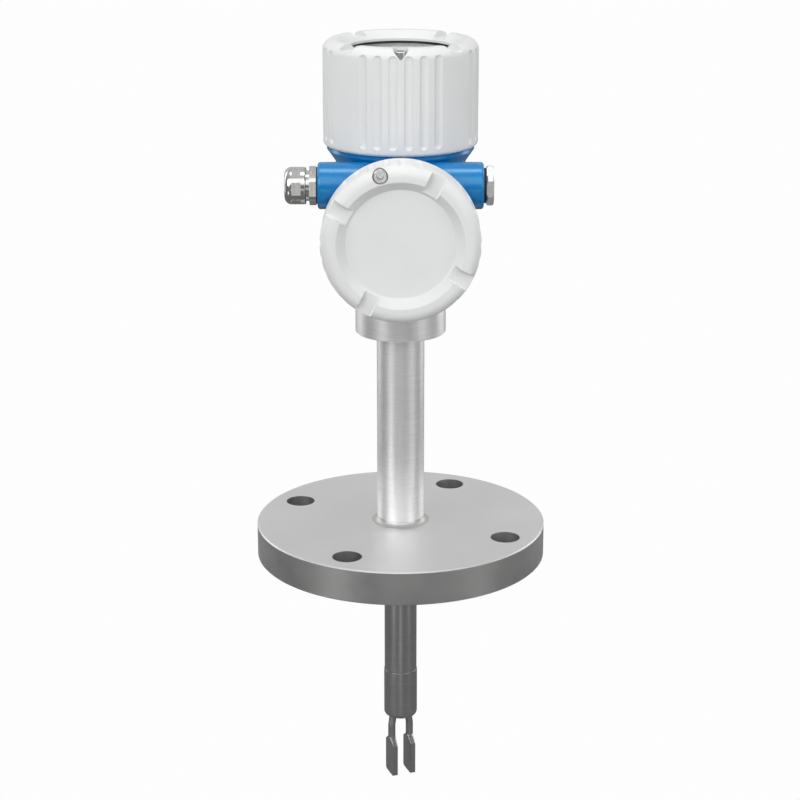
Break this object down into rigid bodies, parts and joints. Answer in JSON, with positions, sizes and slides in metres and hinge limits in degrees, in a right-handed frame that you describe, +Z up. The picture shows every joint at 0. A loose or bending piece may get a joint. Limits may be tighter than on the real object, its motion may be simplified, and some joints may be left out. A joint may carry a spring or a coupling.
{
  "type": "tuning fork level switch",
  "caption": "Vibrating fork level switch on a process flange, with a spacer tube and a dual compartment housing with fluted screw covers.",
  "frame": {"origin": "centre of the flange's underside, level with the mouths of the bolt holes; the raised sealing face stands 1.6 mm below it", "axes": "+Z up the tube to the housing, -Y towards the front cover, +X towards the blind plug"},
  "size_m": [0.1904, 0.1904, 0.5054],
  "materials": {
    "flange_steel": "turned and bead blasted stainless steel",
    "tube_steel": "turned stainless steel",
    "weld_steel": "polished weld",
    "wetted_steel": "matt stainless steel",
    "inner_steel": "plain steel",
    "ceramic": null,
    "feedthrough_glass": "sealing glass",
    "wire_jacket": "insulated wire",
    "black_plastic": "glass filled plastic",
    "seal_rubber": "seal rubber",
    "blue_paint": "satin powder coat on cast aluminium",
    "white_paint": "satin powder coat on cast aluminium",
    "screw_steel": "stainless screw",
    "lock_steel": "socket head screw",
    "terminal_plastic": "terminal block plastic",
    "terminal_brass": "plated brass",
    "board_green": "solder resist",
    "tower_plastic": "moulded plastic",
    "screen_glass": "display glass",
    "backlight_plastic": "light guide",
    "window_glass": "toughened glass",
    "inner_aluminium": "machined aluminium",
    "nickel_brass": "nickel plated brass",
    "plug_brass": "satin nickel plated brass",
    "button_plastic": "button cap",
    "slider_plastic": "slider"
  },
  "bodies": {
    "process": {"flange": "flange_steel", "spacer_tube": "tube_steel", "upper_weld_bead": "weld_steel", "lower_weld_bead": "weld_steel", "extension_pipe": "wetted_steel", "tuning_fork": "wetted_steel", "crystal_stack": "ceramic", "stack_nut": "inner_steel", "glass_feedthrough": "feedthrough_glass", "signal_wires": "wire_jacket", "neck_connector": "black_plastic", "adapter_collar": "tube_steel", "neck_seal": "seal_rubber", "snap_ring": "inner_steel"},
    "housing_body": {"housing": "blue_paint", "neck_screw": "screw_steel", "outer_ground_clamp": "screw_steel", "outer_ground_screw": "screw_steel", "inner_ground_clamp": "screw_steel", "inner_ground_screw": "screw_steel", "partition_feedthrough": "black_plastic", "terminal_block": "terminal_plastic", "terminal_screws": "terminal_brass", "electronics_cup": "black_plastic", "cup_screws": "screw_steel", "power_board": "board_green", "power_components": "black_plastic", "board_ribbon": "wire_jacket", "display_tower": "tower_plastic", "main_board": "board_green", "board_screws": "screw_steel", "display_screen": "screen_glass", "display_backlight": "backlight_plastic", "button_switches": "black_plastic", "slider_block": "black_plastic", "gland_washer": "seal_rubber", "gland_body": "nickel_brass", "seal_insert": "seal_rubber"},
    "upper_seal_ring": {"upper_cover_seal": "seal_rubber"},
    "upper_cover_body": {"upper_cover": "white_paint", "glass_gasket": "seal_rubber", "sight_glass": "window_glass", "glass_nut": "inner_aluminium", "upper_lock_screw": "lock_steel"},
    "front_seal_ring": {"front_cover_seal": "seal_rubber"},
    "front_cover_body": {"front_cover": "white_paint", "front_lock_screw": "lock_steel"},
    "clamp_ring_body": {"clamp_ring": "black_plastic"},
    "cap_nut_body": {"gland_cap_nut": "nickel_brass"},
    "plug_seal_body": {"plug_seal": "seal_rubber"},
    "plug_body": {"blind_plug": "plug_brass"},
    "button_1_body": {"push_button_1": "button_plastic"},
    "button_2_body": {"push_button_2": "button_plastic"},
    "button_3_body": {"push_button_3": "button_plastic"},
    "slider_1_body": {"mode_slider_1": "slider_plastic"},
    "slider_2_body": {"mode_slider_2": "slider_plastic"}
  },
  "joints": [
    {"name": "housing_turn", "type": "hinge", "parent": "process", "child": "housing_body", "pos_m": [0, 0, 0.1724], "axis": [0, 0, 1], "range_deg": [-170, 170]},
    {"name": "upper_cover_lift", "type": "slide", "parent": "housing_body", "child": "upper_seal_ring", "axis": [0, 0, 1], "range_m": [0, 0.0111]},
    {"name": "upper_cover_turn", "type": "hinge", "parent": "upper_seal_ring", "child": "upper_cover_body", "pos_m": [0, 0, 0.2754], "axis": [0, 0, 1], "range_deg": [0, 1980]},
    {"name": "front_cover_lift", "type": "slide", "parent": "housing_body", "child": "front_seal_ring", "axis": [0, -1, 0], "range_m": [0, 0.0111]},
    {"name": "front_cover_turn", "type": "hinge", "parent": "front_seal_ring", "child": "front_cover_body", "pos_m": [0, -0.06, 0.2294], "axis": [0, -1, 0], "range_deg": [0, 1980]},
    {"name": "cap_nut_travel", "type": "slide", "parent": "housing_body", "child": "clamp_ring_body", "axis": [-1, 0, 0], "range_m": [0, 0.0061]},
    {"name": "cap_nut_turn", "type": "hinge", "parent": "clamp_ring_body", "child": "cap_nut_body", "pos_m": [-0.0581, -0.042, 0.257], "axis": [-1, 0, 0], "range_deg": [0, 1440]},
    {"name": "plug_travel", "type": "slide", "parent": "housing_body", "child": "plug_seal_body", "axis": [1, 0, 0], "range_m": [0, 0.0076]},
    {"name": "plug_turn", "type": "hinge", "parent": "plug_seal_body", "child": "plug_body", "pos_m": [0.0526, -0.042, 0.257], "axis": [1, 0, 0], "range_deg": [0, 1800]},
    {"name": "button_1_press", "type": "slide", "parent": "housing_body", "child": "button_1_body", "axis": [0, 0, -1], "range_m": [0, 0.0006], "stiffness_N_per_m": 400},
    {"name": "button_2_press", "type": "slide", "parent": "housing_body", "child": "button_2_body", "axis": [0, 0, -1], "range_m": [0, 0.0006], "stiffness_N_per_m": 400},
    {"name": "button_3_press", "type": "slide", "parent": "housing_body", "child": "button_3_body", "axis": [0, 0, -1], "range_m": [0, 0.0006], "stiffness_N_per_m": 400},
    {"name": "slider_1_shift", "type": "slide", "parent": "housing_body", "child": "slider_1_body", "axis": [1, 0, 0], "range_m": [0, 0.002]},
    {"name": "slider_2_shift", "type": "slide", "parent": "housing_body", "child": "slider_2_body", "axis": [1, 0, 0], "range_m": [0, 0.002]}
  ],
  "couplings": [
    {"joint": "upper_cover_lift", "follows": "upper_cover_turn", "m_per_rad": 0.00031831},
    {"joint": "front_cover_lift", "follows": "front_cover_turn", "m_per_rad": 0.00031831},
    {"joint": "cap_nut_travel", "follows": "cap_nut_turn", "m_per_rad": 0.00023873},
    {"joint": "plug_travel", "follows": "plug_turn", "m_per_rad": 0.00023873}
  ]
}
